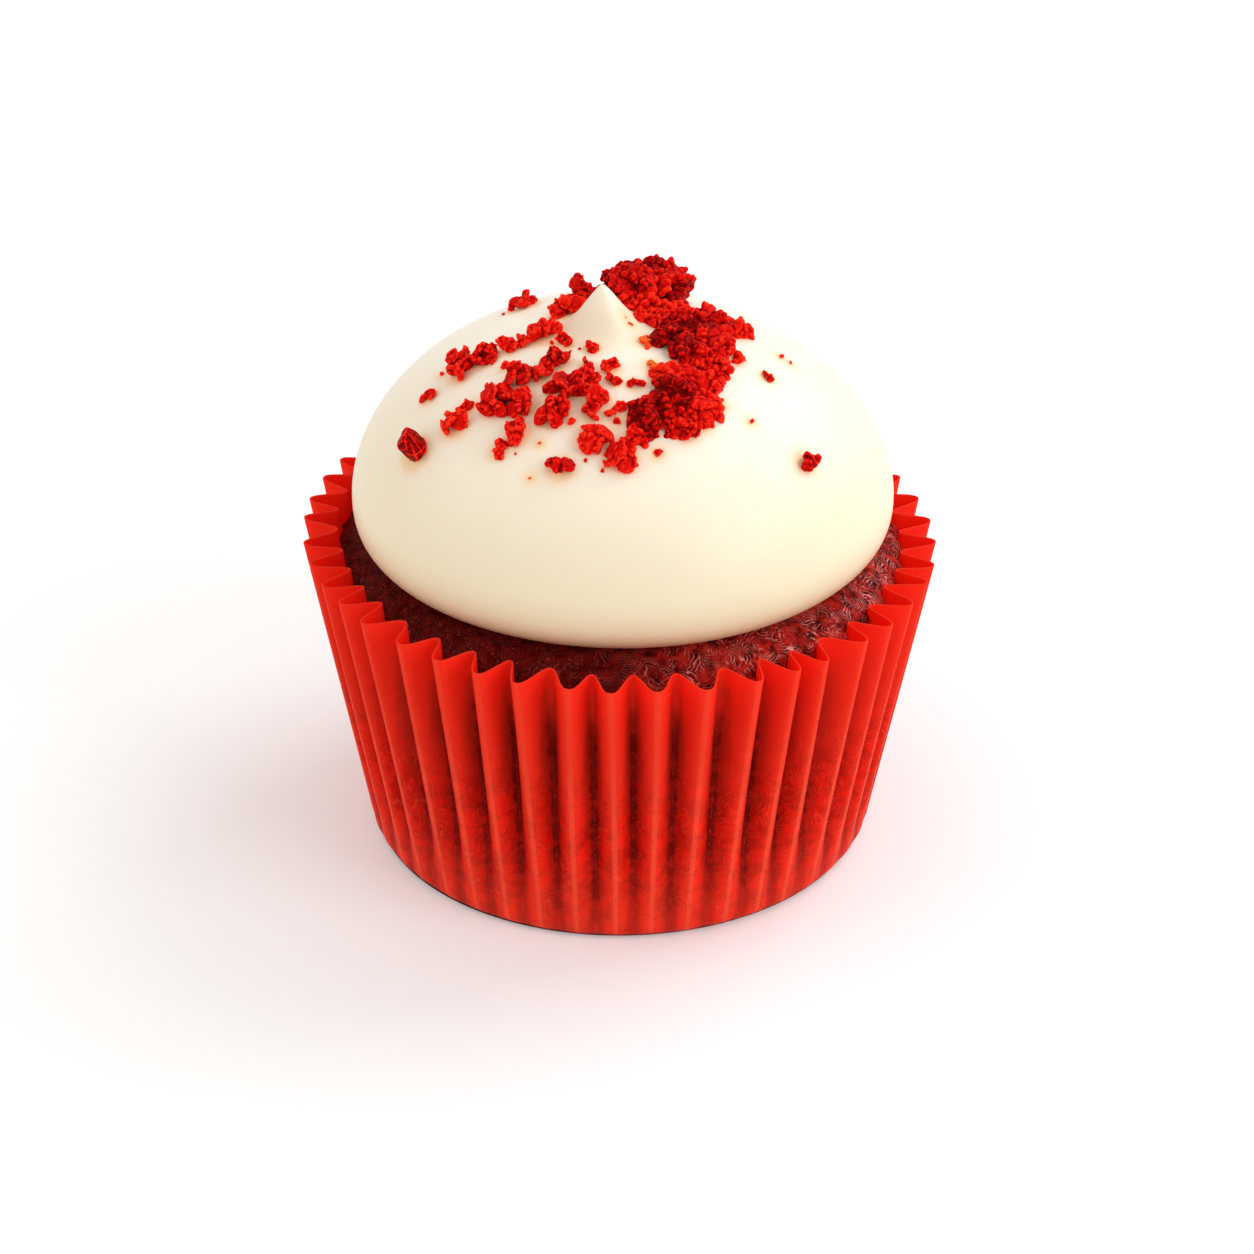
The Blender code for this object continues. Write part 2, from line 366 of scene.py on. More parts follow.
class Finish:
    """A procedural material being put together."""

    def __init__(self, name):
        self.material = bpy.data.materials.new(name)
        self.material.use_nodes = True
        self.tree = self.material.node_tree
        self.tree.nodes.clear()
        self.place = self.add("ShaderNodeTexCoord", {}, {}, "Object")

    def add(self, kind, settings, inputs, output=0):
        """A node of a kind, with its settings made first, then its inputs given as values or as links.
        Gives the output asked for, if the node has any."""
        node = self.tree.nodes.new(kind)
        for key, setting in settings.items():
            setattr(node, key, setting)
        for key, given in inputs.items():
            if isinstance(given, Value):
                self.tree.links.new(given.socket, node.inputs[key])
            else:
                node.inputs[key].default_value = given
        return Value(self, node.outputs[output]) if node.outputs else None

    def math(self, operation, *given):
        """A Math node on links or on plain numbers."""
        return self.add("ShaderNodeMath", {"operation": operation}, dict(enumerate(given)))

    def mark(self, label):
        """The number that the mesh carries on its points under a label."""
        return self.add("ShaderNodeAttribute", {"attribute_name": label}, {}, "Fac")

    def noise(self, size, detail=2.0, roughness=0.5, output="Fac"):
        """Blender's noise with lumps of about one size, in metres."""
        inputs = {"Vector": self.place, "Scale": 1 / size, "Detail": detail, "Roughness": roughness}
        return self.add("ShaderNodeTexNoise", {}, inputs, output)

    def cells(self, size, feature="F1", place=None, output="Distance"):
        """A Voronoi pattern with cells of one size, in metres."""
        inputs = {"Vector": place or self.place, "Scale": 1 / size}
        return self.add("ShaderNodeTexVoronoi", {"feature": feature}, inputs, output)

    def vectors(self, operation, *given, output=0):
        """A Vector Math node on links or on x, y and z."""
        return self.add("ShaderNodeVectorMath", {"operation": operation}, dict(enumerate(given)), output)

    def strands(self, patch, spacing, sway):
        """Wavy parallel ridges, -1 to 1, that run another way in each patch: the sine of how far a place,
        swayed by a noise, lies along its own patch's direction."""
        drift = self.noise(patch, 2.0, 0.5, "Color")
        swayed = self.vectors("MULTIPLY_ADD", drift, (sway, sway, sway), self.place)
        way = self.vectors("SUBTRACT", self.cells(patch, place=swayed, output="Color"), (0.5, 0.5, 0.5))
        along = self.vectors("DOT_PRODUCT", swayed, self.vectors("NORMALIZE", way), output="Value")
        return self.math("SINE", along * (2 * math.pi / spacing))

    def rise(self, value, low, high):
        """An S-shaped rise from 0 at low to 1 at high."""
        inputs = {"Value": value, "From Min": low, "From Max": high}
        return self.add("ShaderNodeMapRange", {"interpolation_type": "SMOOTHSTEP"}, inputs)

    def along(self, axis):
        """How far a place lies along an axis from the middle of the base, in metres."""
        return self.add("ShaderNodeSeparateXYZ", {}, {0: self.place}, axis)

    def blend(self, factor, first, second):
        """A mix of two colours, each a link or red, green and blue."""
        inputs = {MIX_FACTOR: factor}
        for key, tint in ((MIX_FIRST, first), (MIX_SECOND, second)):
            inputs[key] = tint if isinstance(tint, Value) else (*tint, 1.0)
        return self.add("ShaderNodeMix", {"data_type": "RGBA"}, inputs, MIX_RESULT)

    def bump(self, height, depth, strength=1.0):
        """A bump whose height field is scaled to a depth in metres."""
        inputs = {"Height": height, "Distance": depth, "Strength": strength}
        return self.add("ShaderNodeBump", {}, inputs)

    def principled(self, inputs):
        """A Principled shader."""
        return self.add("ShaderNodeBsdfPrincipled", {}, inputs)

    def close(self, shader):
        """The finished material, with a shader on its surface."""
        self.add("ShaderNodeOutputMaterial", {}, {"Surface": shader})
        return self.material


def paper_finish(case):
    """Thin red baking paper: bright and smooth where it stands free, and soaked and finely wrinkled where
    the cake touches it. Painted highlight lightens the crests, the cut edge and specks down the valleys,
    and painted shade darkens the valleys, with soaked streaks where the cake presses the paper."""
    finish = Finish("baking_paper")
    height = finish.along("Z")
    inward = finish.mark("inward")
    patches = finish.noise(3.0 * MM, 3.0)
    soak = finish.rise(height + (patches - 0.5) * (8 * MM), 26 * MM, 13 * MM)
    wrinkles = finish.rise(finish.strands(1.8 * MM, 0.34 * MM, 1.5 * MM), 0.0, 1.0)
    wrinkles = wrinkles * finish.rise(finish.noise(1.2 * MM, 1.0), 0.38, 0.58)
    blotch = finish.rise(finish.noise(1.9 * MM, 4.0, 0.6), 0.34, 0.60)
    soaked = finish.blend(blotch, tuple(0.64 * c for c in case.soaked), case.soaked)
    soaked = finish.blend(finish.rise(height, 12 * MM, 1 * MM) * 0.22, soaked, case.wrinkle_and_highlight)
    soaked = finish.blend(wrinkles * 0.28, soaked, case.wrinkle_and_highlight)
    tint = finish.blend(soak, case.fresh, soaked)
    # Painted highlight along the fold crests: a broad soft band, then a thin bright line
    tint = finish.blend(finish.rise(inward, 0.30, 0.0) * 0.15, tint, case.wrinkle_and_highlight)
    tint = finish.blend(finish.rise(inward, 0.03, 0.0) * 0.6, tint, case.wrinkle_and_highlight)
    ragged = (finish.noise(0.9 * MM, 4.0) - 0.5) * 0.45
    below = finish.rise(height + (patches - 0.5) * (6 * MM), 29 * MM, 23 * MM)
    foot = finish.rise(height + (patches - 0.5) * (8 * MM), 1 * MM, 11 * MM)
    # Painted shade down the valleys, then a narrow dark streak: painted shade, partly soak where the cake
    # presses
    tint = finish.blend(finish.rise(inward, 0.25, 0.95) * below * 0.40, tint, case.soak_and_valley_shade)
    tint = finish.blend(finish.rise(inward + ragged, 0.80, 1.02) * below * foot * 0.85, tint, case.soak_and_valley_shade)
    # Painted highlight: glinting specks down the middle of each valley, and a lighter cut edge at the rim
    valley_glints = finish.rise(inward, 0.985, 1.0) * finish.rise(finish.noise(0.3 * MM, 2.0), 0.52, 0.66)
    tint = finish.blend(valley_glints * 0.35 * below + finish.mark("rim") * 0.4, tint, case.wrinkle_and_highlight)
    relief = (wrinkles * 0.7 + blotch * 0.3) * soak + finish.noise(0.5 * MM) * 0.08
    normal = finish.bump(relief, 0.10 * MM)
    shader = finish.principled({
        "Base Color": tint, "Roughness": 0.5, "Normal": normal, "Specular IOR Level": 0.04,
        "Sheen Weight": 0.15, "Sheen Roughness": 0.22, "Sheen Tint": (1.0, 0.15, 0.08, 1.0),
    })
    glow = finish.add("ShaderNodeBsdfTranslucent", {}, {"Color": (1.0, 0.02, 0.008, 1.0)})
    thin = 0.45 - soak * 0.35
    return finish.close(finish.add("ShaderNodeMixShader", {}, {0: thin, 1: shader, 2: glow}))


def sponge_finish(sponge):
    """Moist dark red sponge: patches of fine wavy strands, each patch lying its own way, glossier on the
    strands.
    Painted light makes the right side paler and its strands pale pink, as a painted sheen, and adds tiny
    painted glints."""
    finish = Finish("red_sponge")
    strands = finish.rise(finish.strands(1.5 * MM, 0.26 * MM, 1.0 * MM), 0.0, 1.0)
    strands = strands * finish.rise(finish.noise(1.4 * MM, 3.0), 0.40, 0.62)
    mottle = finish.rise(finish.noise(1.1 * MM, 4.0, 0.65), 0.34, 0.66)
    # Painted light: the right side, where the lamps at the right fall, gets paler tone, more pale strands
    # and more coat
    painted_light = finish.rise(finish.along("X"), -5 * MM, 13 * MM)
    tint = finish.blend(mottle * (0.19 + painted_light * 0.81), sponge.dark, sponge.light)
    tint = finish.blend(strands * (0.12 + painted_light * 0.88), tint, sponge.painted_light)
    # Painted highlights: tiny glints of the pale colour, with a matching bump and coat
    glints = finish.rise(finish.noise(0.28 * MM, 1.0), 0.66, 0.74)
    tint = finish.blend(glints * 0.4, tint, sponge.painted_light)
    normal = finish.bump(strands * 0.5 + mottle * 0.5 + glints * 0.3, 0.25 * MM)
    return finish.close(finish.principled({
        "Base Color": tint, "Roughness": 0.5, "Normal": normal, "Specular IOR Level": 0.03,
        "Coat Weight": (strands + glints * 0.5) * (0.1 + painted_light * 0.7), "Coat Roughness": 0.22,
    }))


def icing_finish(icing):
    """Smooth cream icing, soft to the light: paler on top and darker and warmer lower down, at its thin
    foot and round the foot of the peak, which is painted shade; faintly uneven; and with a painted warm
    glow of bounced light round the crumbs."""
    finish = Finish("cream_icing")
    height = finish.along("Z")
    # Painted shade: paler on top, darker and warmer down the dome, deepest at the foot
    tint = finish.blend(finish.rise(height, 36 * MM, 54 * MM), icing.shaded_low_tint, icing.tint)
    # Painted warm shade in a ring round the foot of the peak
    tint = finish.blend(finish.mark("hollow") * 0.7, tint, icing.shaded_low_tint)
    tint = finish.blend(finish.rise(height, 39 * MM, 30.5 * MM), tint, icing.shaded_foot_tint)
    cloudy = finish.rise(finish.noise(9 * MM, 2.0), 0.3, 0.7)
    tint = finish.blend(cloudy * 0.12, tint, icing.shaded_low_tint)
    # Painted warm glow of light bounced from the crumbs
    tint = finish.blend(finish.mark("stain") * 0.5, tint, icing.stain)
    normal = finish.bump(finish.noise(2.2 * MM, 2.0), 0.05 * MM, 0.3)
    return finish.close(finish.principled({
        "Base Color": tint, "Roughness": 0.38, "Normal": normal, "Specular IOR Level": 0.3,
        "Subsurface Weight": 0.3, "Subsurface Radius": (1.0, 0.6, 0.3), "Subsurface Scale": 1.5 * MM,
    }))


def crumb_finish(crumb, name, dark, body):
    """Red cake crumb with fine pale veins: painted shade in its creases and a painted highlight on its
    edges.
    """
    finish = Finish(name)
    grain = finish.noise(0.5 * MM, 3.0, 0.6)
    veins = finish.rise(finish.cells(1.1 * MM, "DISTANCE_TO_EDGE"), 0.05, 0.0)
    veins = veins * finish.rise(finish.noise(1.5 * MM, 1.0), 0.45, 0.6)
    tone = finish.rise(finish.mark("tone") + (grain - 0.5) * 0.5 + veins * 0.45, 0.0, 1.0)
    tint = finish.blend(finish.rise(tone, 0.0, 0.55), dark, body)
    tint = finish.blend(finish.rise(tone, 0.6, 1.0), tint, crumb.light)
    normal = finish.bump(grain + veins * 0.5, 0.10 * MM, 0.6)
    return finish.close(finish.principled({
        "Base Color": tint, "Roughness": 0.5, "Normal": normal, "Specular IOR Level": 0.03,
        "Subsurface Weight": 0.35, "Subsurface Radius": (1.0, 0.05, 0.015), "Subsurface Scale": 0.6 * MM,
    }))


def red_crumb(crumb):
    """The finish of every crumb but the thin chips."""
    return crumb_finish(crumb, "red_crumb", crumb.dark, crumb.body)


# Paper case

FOLD_COLUMNS = 24
WALL_ROWS = 34
FOOT_ROWS = 6
BASE_ROWS = 6
CUT_EDGE = 0.15 * MM
FOLD_FADE = 0.8
OUTER_FOLD_BREADTH = 1.35
FOLD_SWAY = 0.14
FOLD_LEAN = 0.2
DEPTH_SPREAD = 0.2
DEPTH_AT_FOOT = 0.35
RIM_WAVER = 0.25 * MM


def between_folds(place, values):
    """A value for each outer fold, carried to the next one by an S curve."""
    fold = np.floor(place).astype(int)
    part = smooth(0.0, 1.0, place - fold)
    return values[fold % len(values)] * (1 - part) + values[(fold + 1) % len(values)] * part


def fold_place(case, turn):
    """How many folds round from the first outer one an angle lies."""
    return case.folds * (turn - case.first_fold) / (2 * np.pi)


def pleats(case, turn, height):
    """How far in the paper runs at an angle, from 0 on an outer fold to 1 on an inner one, and the folds'
    depth. In: ((1 - cos fold) / 2)^breadth, which makes outer folds broad and inner ones narrow. Depth:
    the rim's depth times (height / rim)^fade, less at the foot. Each fold leans and sways on its own."""
    rng = np.random.default_rng(case.seed)
    sway, lean, deep = rng.uniform(-case.unevenness, case.unevenness, (3, case.folds))
    up = height / case.height
    place = fold_place(case, turn)
    swayed = FOLD_SWAY * between_folds(place, sway)
    place = place + swayed + FOLD_LEAN * up * up * between_folds(place, lean)
    inward = ((1 - np.cos(2 * np.pi * place)) / 2) ** OUTER_FOLD_BREADTH
    fade = DEPTH_AT_FOOT + (1 - DEPTH_AT_FOOT) * smooth(1 * MM, 9 * MM, height)
    depth = case.fold_depth * np.maximum(up, 0.0) ** FOLD_FADE * fade
    return inward, depth * (1 + DEPTH_SPREAD * between_folds(place, deep))


def paper_radius(case, turn, height):
    """The paper's outer side: a straight flare, less the pleat's depth, a touch out of round."""
    inward, depth = pleats(case, turn, height)
    flare = case.foot_radius + (case.rim_radius - case.foot_radius) * height / case.height
    oval = 1 + 0.003 * np.sin(2 * turn + 0.6) + 0.002 * np.sin(3 * turn + 2.0)
    return flare * oval - inward * depth, inward


def case_rings(case):
    """The rings of the wall from the base's edge to the rim: a quarter round at the foot, then the flare.
    The rim slants down to the right and wavers a little from fold to fold."""
    columns = case.folds * FOLD_COLUMNS
    turn = np.linspace(0, 2 * np.pi, columns, endpoint=False)[None, :]
    foot = np.linspace(0, np.pi / 2, FOOT_ROWS, endpoint=False)
    heights = np.concatenate([
        case.foot_rounding * (1 - np.cos(foot)),
        np.linspace(case.foot_rounding, case.height - CUT_EDGE, WALL_ROWS - 1),
        [case.height],
    ])[:, None]
    tucked = np.concatenate([case.foot_rounding * (1 - np.sin(foot)), np.zeros(WALL_ROWS)])[:, None]
    radius, inward = paper_radius(case, turn, heights)
    rng = np.random.default_rng(case.seed + 1)
    uneven = between_folds(fold_place(case, turn), rng.uniform(-1, 1, case.folds))
    waver = RIM_WAVER * uneven * case.unevenness
    slanted = heights * (1 + (waver - case.rim_slant * np.sin(turn)) / case.height)
    return around(radius - tucked, turn, slanted), inward + np.zeros_like(radius)


class CUPCAKE_OT_paper_case(bpy.types.Operator):
    """Make the pleated paper case"""

    bl_idname = "cupcake.paper_case"
    bl_label = "Paper Case"

    def execute(self, context):
        case = context.scene.cupcake_case
        rings, inward = case_rings(case)
        flat = np.linspace(0.25, 0.97, BASE_ROWS)[:, None, None] * rings[:1] * (1, 1, 0)
        rings = np.concatenate([flat, rings])
        inward = np.concatenate([np.zeros_like(inward[:BASE_ROWS]), inward])
        # The rim mark shows the finish where to paint a highlight along the cut edge
        rim = np.zeros_like(inward)
        rim[-1] = 1.0
        mesh = turned_mesh("pleated_case", rings, low=(0.0, 0.0, 0.0), inward=inward, rim=rim)
        piece = place_piece(mesh, paper_finish(case), "paper", "paper_case")
        sheet = piece.modifiers.new("Paper", "SOLIDIFY")
        sheet.thickness = case.thickness
        sheet.offset = -1.0
        return {"FINISHED"}


# Sponge

SPONGE_COLUMNS = 792
FLOOR_ROWS = 4
SIDE_ROWS = 8
HIDDEN_ROWS = 8
SHOWING_ROWS = 40
HIDDEN_REACH = 0.79
CROWN_SQUARENESS = 2.6
RELIEF_SHARE = 0.7
PAPER_GAP = 0.1 * MM


def crown_height(sponge, radius):
    """Height of the sponge's top: the shoulder plus a superellipse's rise."""
    reach = np.clip(radius / sponge.radius, 0.0, 1.0)
    rise = (1 - reach**CROWN_SQUARENESS) ** (1 / CROWN_SQUARENESS)
    return sponge.shoulder + (sponge.crown - sponge.shoulder) * rise


def sponge_outline(sponge, case):
    """Radius and height of the rings from the flat bottom, up the side and over the crown, closest in the
    strip that shows between the paper and the icing."""
    bottom = case.thickness + 0.02 * MM
    floor = np.linspace(0.3, 0.98, FLOOR_ROWS) * case.foot_radius
    side = np.linspace(bottom + 1.5 * MM, sponge.shoulder - 3 * MM, SIDE_ROWS)
    shoulder = np.linspace(sponge.shoulder - 2.6 * MM, sponge.shoulder, SIDE_ROWS)
    hidden = np.linspace(0.12, 0.78, HIDDEN_ROWS) * sponge.radius
    outer = np.linspace(math.asin(HIDDEN_REACH), np.pi / 2, SHOWING_ROWS, endpoint=False)
    top = np.concatenate([hidden, sponge.radius * np.sin(outer)])[::-1]
    radius = np.concatenate([floor, np.full(2 * SIDE_ROWS, sponge.radius), top])
    height = np.concatenate([np.full(FLOOR_ROWS, bottom), side, shoulder, crown_height(sponge, top)])
    return radius[:, None], height[:, None]


def sponge_relief(sponge, points):
    """How far the sponge stands out, from about -1 to 1: broad lumps, pebbles and fine lumps, added up."""
    relief = lumps(points, 1.3 * MM, sponge.seed) * 0.5 + 0.7 - pebbles(points, 0.9 * MM, sponge.seed)
    return relief + 0.25 * lumps(points, 0.4 * MM, sponge.seed + 9)


class CUPCAKE_OT_sponge(bpy.types.Operator):
    """Make the sponge, whose crown shows round the icing"""

    bl_idname = "cupcake.sponge"
    bl_label = "Sponge"

    def execute(self, context):
        sponge, case = context.scene.cupcake_sponge, context.scene.cupcake_case
        radius, height = sponge_outline(sponge, case)
        turn = np.linspace(0, 2 * np.pi, SPONGE_COLUMNS, endpoint=False)[None, :]
        room = paper_radius(case, turn, height)[0] - case.thickness - PAPER_GAP
        rings = around(radius, turn, height)
        showing = smooth(sponge.shoulder - 3 * MM, sponge.shoulder, height)
        raised = sponge.relief * RELIEF_SHARE * sponge_relief(sponge, rings) * showing
        radius = np.minimum(radius + raised, room)
        mesh = turned_mesh("sponge", around(radius, turn, height + raised), low=(0, 0, rings[0, 0, 2]),
                           high=(0, 0, sponge.crown))
        place_piece(mesh, sponge_finish(sponge), "cake", "cake")
        return {"FINISHED"}


# Icing

ICING_COLUMNS = 288
DROP_ROWS = 26
RISE_ROWS = 120
RISE_SQUARENESS = 1.88
DROP_SQUARENESS = 2.9
PEAK_SLOPE = 1.4
PEAK_TIP_ROUNDING = 0.35 * MM
PEAK_FLARE = 0.6 * MM
PEAK_BLEND_RADIUS = 12 * MM
RIDGE_TURN = 0.35
RIDGE_BREADTH = 0.55
RIDGE_SHARE = 0.16
DOME_LEAN = 0.9
CRUMB_GLOW_REACH = 0.6 * MM
# A painted ring of warm shade round the peak's foot: its radius and breadth
PEAK_SHADE_RADIUS = 3.0 * MM
PEAK_SHADE_BREADTH = 2.5 * MM


def wave(turn, radius):
    """How much further out than a true circle the dome stands, as a share: three slow waves that fade out
    towards the top."""
    waves = 0.004 * np.sin(2 * turn + 1.0) + 0.003 * np.sin(3 * turn + 4.0) + 0.0015 * np.sin(5 * turn)
    return waves * smooth(4 * MM, 20 * MM, radius)


def dome_height(icing, x, y):
    """Height of the dome over a place: waist + rise (1 - (r / radius)^n)^(1/n), with a faint lean."""
    radius = np.hypot(x - icing.centre, y)
    reach = radius / (1 + wave(np.arctan2(x - icing.centre, -y), radius)) / icing.radius
    rise = icing.rise * (1 - np.minimum(reach, 1.0) ** RISE_SQUARENESS) ** (1 / RISE_SQUARENESS)
    return icing.waist + rise * (1 - DOME_LEAN * (x - icing.centre))


def peak_height(icing, x, y):
    """What the drawn-up peak adds: a cone with a rounded tip that runs out in a flare,
    w ln(1 + e^((rise - fall) / w)). A soft ridge stands out of it towards the front right."""
    away_x, away_y = x - icing.peak_place, y
    distance = np.hypot(away_x, away_y)
    heading = np.arctan2(away_x, -away_y)
    ridge = np.exp(-((heading - RIDGE_TURN) / RIDGE_BREADTH) ** 2) * smooth(0.0, 1.5 * MM, distance)
    ridged = distance * (1 - RIDGE_SHARE * ridge)
    fall = PEAK_SLOPE * (np.hypot(ridged, PEAK_TIP_ROUNDING) - PEAK_TIP_ROUNDING)
    return PEAK_FLARE * np.log1p(np.exp(np.minimum((icing.peak_rise - fall) / PEAK_FLARE, 30)))


def icing_height(icing, x, y):
    """Height of the icing's top over a place in plan."""
    return dome_height(icing, x, y) + peak_height(icing, x, y)


def icing_rings(icing, sponge):
    """Rings from under the icing, out to its tuck, round the waist and up over the dome. Their centre
    moves from the dome's axis to the peak's as they close in on the peak."""
    turn = np.linspace(0, 2 * np.pi, ICING_COLUMNS, endpoint=False)[None, :]
    under = np.array([0.3, 0.6, 0.8, 0.9])[:, None] * icing.tuck
    under_height = crown_height(sponge, under) - 0.15 * MM
    lowest = math.acos((icing.tuck / icing.radius) ** (DROP_SQUARENESS / 2))
    falling = np.linspace(lowest, 0, DROP_ROWS)[:, None]
    drop_radius, drop = superellipse(icing.radius, icing.drop, DROP_SQUARENESS, falling)
    rising = np.pi / 2 * np.linspace(0, 1, RISE_ROWS, endpoint=False)[1:, None]
    rise_radius, _ = superellipse(icing.radius, icing.rise, RISE_SQUARENESS, rising)
    radius = np.concatenate([under, drop_radius, rise_radius])
    height = np.concatenate([under_height, icing.waist - drop, 0 * rise_radius])
    rings = around(radius * (1 + wave(turn, radius)), turn, height)
    rings[..., 0] += icing.centre
    over = rings[-len(rise_radius):]
    over[..., 0] += (icing.peak_place - icing.centre) * (1 - smooth(0.0, PEAK_BLEND_RADIUS, rise_radius))
    over[..., 2] = icing_height(icing, over[..., 0], over[..., 1])
    return rings


def crumb_glows(rings, bodies):
    """Painted glow of bounced light on the icing, from 0 to 1: e^-(gap / reach)^1.5 for the gap to the
    nearest crumb.
    """
    stain = np.zeros(rings.shape[:2])
    for body in bodies:
        gap = np.linalg.norm(rings - body[:3], axis=-1) - 0.9 * body[3]
        stain = np.maximum(stain, np.exp(-(np.maximum(gap, 0.0) / CRUMB_GLOW_REACH) ** 1.5))
    return stain


class CUPCAKE_OT_icing(bpy.types.Operator):
    """Make the dome of icing with its drawn-up peak"""

    bl_idname = "cupcake.icing"
    bl_label = "Icing"

    def execute(self, context):
        icing, sponge = context.scene.cupcake_icing, context.scene.cupcake_sponge
        rings = icing_rings(icing, sponge)
        stain = crumb_glows(rings, crumb_bodies(context.scene.cupcake_crumb, icing))
        away = np.hypot(rings[..., 0] - icing.peak_place, rings[..., 1])
        hollow = np.exp(-((away - PEAK_SHADE_RADIUS) / PEAK_SHADE_BREADTH) ** 2)
        tip = icing_height(icing, icing.peak_place, 0.0)
        mesh = turned_mesh("icing_dome", rings, low=(icing.centre, 0, rings[0, 0, 2]),
                           high=(icing.peak_place, 0, tip), stain=stain, hollow=hollow)
        place_piece(mesh, icing_finish(icing), "icing", "icing")
        return {"FINISHED"}


# Crumbs

# The stones that crumbs are made of, and how sharp a crisp and a round one are
STONE_ROWS = 9
STONE_COLUMNS = 14
STONE_FACETS = 11
CRISP = 24
ROUND = 2

# Nubs on loose crumbs and on the chunks of clumps: least and greatest size, spacing and spread
NUB = np.array((0.24, 0.36)) * MM
NUB_SPACING = 0.33 * MM
NUB_SPREAD = 0.14
CHUNK_NUB = np.array((0.34, 0.58)) * MM
CHUNK_NUB_SPACING = 0.5 * MM
CHUNK_NUB_SPREAD = 0.12
CHUNK_BREADTH = 2.5

# Lobes of a crumb, the relief of its surface, and the painted highlight and shade on its edges and creases
LOBE_SIZE = 0.6 * MM
MOST_LOBES = 6
LOBE_REACH = 0.32
FINE_LUMP = 0.45 * MM
FINE_PEBBLE = 0.6 * MM
FINE_RELIEF = 0.05 * MM
CRUMB_EDGE_LIGHT = 2.2

# Shares of the grain that loose crumbs and the smallest pieces keep
LOOSE_GRAIN = 1.12
SMALL_GRAIN = 0.8

CHIP_THICKNESS = 0.45
NUGGET_DISTANCE = 20.9 * MM
NUGGET_TURN = math.radians(-58.5)
NUGGET_HALF = 1.7 * MM
NUGGET_SHAPE = (0.86, 0.86, 0.84)
NUGGET_LIFT = 0.6
NUGGET_SIDES = 6
NUGGET_UPRIGHT = 0.6
NUGGET_CRISP = 90.0
NUGGET_TONE = 0.15
NUGGET_EDGE_LIGHT = 7.0
SPECK_SIZES = (0.1, 0.24)
SPECK_GAP = 0.5 * MM
SPECK_TONE = 0.6

# Trails of loose crumbs that run out from the peak: heading in degrees from the front towards the right,
# then each crumb's distance from the peak and its size, in millimetres
TRAILS = (
    (-75, (5.7, 3.2), (7.5, 1.6), (9.5, 1.9), (11.8, 2.8), (14.2, 2.4), (17.3, 1.4)),
    (-82, (13.9, 2.6), (15.6, 0.7)),
    (-60, (10.7, 1.0), (21.2, 0.4)),
    (-53, (16.1, 1.4), (17.7, 2.8)),
    (-45, (5.2, 1.6), (11.0, 2.9), (14.2, 3.5)),
    (-33, (8.1, 2.6), (9.9, 2.2), (13.7, 3.1), (18.3, 1.6)),
    (-28, (16.4, 2.4), (17.5, 1.0)),
    (-19, (11.1, 3.2), (13.9, 3.3), (17.0, 0.6), (20.0, 0.5)),
    (-11, (4.9, 1.4), (7.8, 1.4), (10.4, 3.2), (14.6, 0.8), (19.1, 2.3)),
    (-3, (12.3, 2.6), (13.6, 1.8), (16.2, 3.3)),
    (6, (8.2, 1.5), (9.9, 1.2), (13.8, 1.7), (14.8, 1.0), (18.2, 3.0)),
    (17, (10.5, 1.5), (18.4, 1.0)),
    (29, (17.0, 2.0)),
    (35, (17.2, 1.1)),
    (49, (18.4, 0.7)),
    (55, (23.4, 2.0)),
    (73, (13.5, 1.1), (16.7, 1.2)),
    (90, (17.3, 0.7), (18.2, 0.5)),
    (-130, (4.3, 3.2), (12.0, 0.9)),
    (-138, (11.1, 2.6)),
    (-149, (26.6, 1.6), (25.3, 0.6)),
    (-162, (7.4, 3.2)),
    (-171, (22.8, 2.4), (24.7, 1.0)),
    (174, (25.6, 1.9), (23.9, 0.7)),
    (159, (22.6, 1.2), (27.0, 0.8)),
    (151, (25.2, 2.0), (24.4, 0.6)),
)

# Thin chips of crumb by the peak, written in the same way
CHIPS = (
    (60, (2.4, 0.4), (3.1, 0.7)),
    (49, (5.8, 1.8)),
    (33, (8.6, 1.2), (9.6, 2.0)),
)

